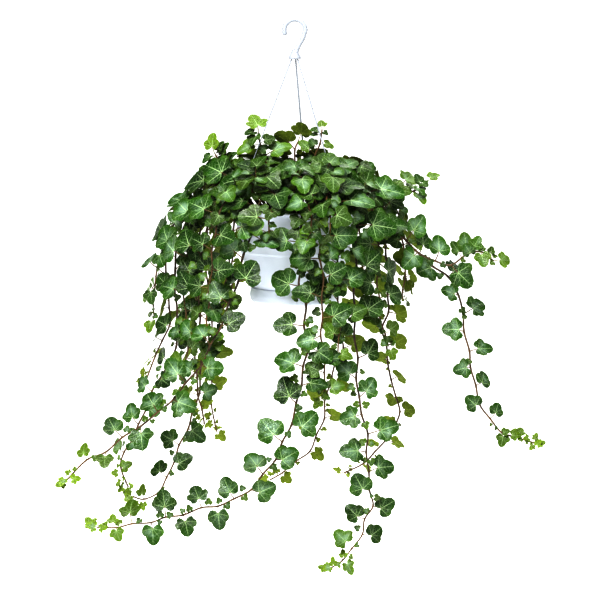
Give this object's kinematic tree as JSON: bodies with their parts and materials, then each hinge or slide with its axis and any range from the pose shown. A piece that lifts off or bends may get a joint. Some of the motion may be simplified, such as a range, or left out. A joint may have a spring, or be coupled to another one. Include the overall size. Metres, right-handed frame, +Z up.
{
  "type": "potted english ivy",
  "caption": "Trailing english ivy in a round white plastic hanging pot with a clip-on saucer, hung from a moulded hook on three thin strands.",
  "frame": {"origin": "seat of the hook: the point inside the top of the crook where the part hangs on its rod or nail", "axes": "+Z up; -Y is the front, the side of the long front vines; +X is the right-hand side seen from the front"},
  "size_m": [0.7252, 0.3278, 0.8126],
  "materials": {
    "pot_plastic": "satin white injection-moulded polypropylene with a faint blue cast",
    "hanger_plastic": "slightly translucent white moulded plastic",
    "soil": "dark, coarse, slightly damp potting soil",
    "ivy_foliage": "dark glossy ivy leaves with paler veins, green-brown stalks and purplish brown stems",
    "ivy_crown_foliage": "younger, lighter ivy leaves of the crown, with greener stems"
  },
  "bodies": {
    "root": {"pot": "pot_plastic", "saucer": "pot_plastic", "soil": "soil", "hanger_hook": "hanger_plastic", "hanger_strand_1": "hanger_plastic", "hanger_strand_2": "hanger_plastic", "hanger_strand_3": "hanger_plastic", "vine_front_long": "ivy_foliage", "vine_front_left_long": "ivy_foliage", "vine_left_inner": "ivy_foliage", "vine_left_front": "ivy_foliage", "vine_left_hooked": "ivy_foliage", "vine_left_mid": "ivy_foliage", "vine_left_lower": "ivy_foliage", "vine_left_outer": "ivy_foliage", "vine_far_left": "ivy_foliage", "vine_back_left_long": "ivy_foliage", "vine_back_left": "ivy_foliage", "vine_back_centre": "ivy_foliage", "vine_back_long": "ivy_foliage", "vine_back_right": "ivy_foliage", "vine_right_zigzag": "ivy_foliage", "vine_right_back_short": "ivy_foliage", "vine_right_arching": "ivy_foliage", "vine_right_upper": "ivy_foliage", "vine_right_mid": "ivy_foliage", "vine_right_long": "ivy_foliage", "vine_right_front": "ivy_foliage", "vine_front_right": "ivy_foliage", "vine_left_back_long": "ivy_foliage", "vine_short_front_left": "ivy_foliage", "vine_short_front": "ivy_foliage", "vine_short_front_right": "ivy_foliage", "sprig_top_left": "ivy_crown_foliage", "sprig_top_centre_left": "ivy_crown_foliage", "sprig_top_centre": "ivy_crown_foliage", "sprig_top_back": "ivy_crown_foliage", "sprig_right_upper": "ivy_crown_foliage", "sprig_upper_right": "ivy_crown_foliage", "sprig_front_left": "ivy_crown_foliage", "sprig_front": "ivy_crown_foliage", "sprig_front_right": "ivy_crown_foliage", "sprig_left": "ivy_crown_foliage", "sprig_left_back": "ivy_crown_foliage", "sprig_back": "ivy_crown_foliage", "sprig_right_back": "ivy_crown_foliage", "sprig_right": "ivy_crown_foliage"}
  },
  "joints": []
}
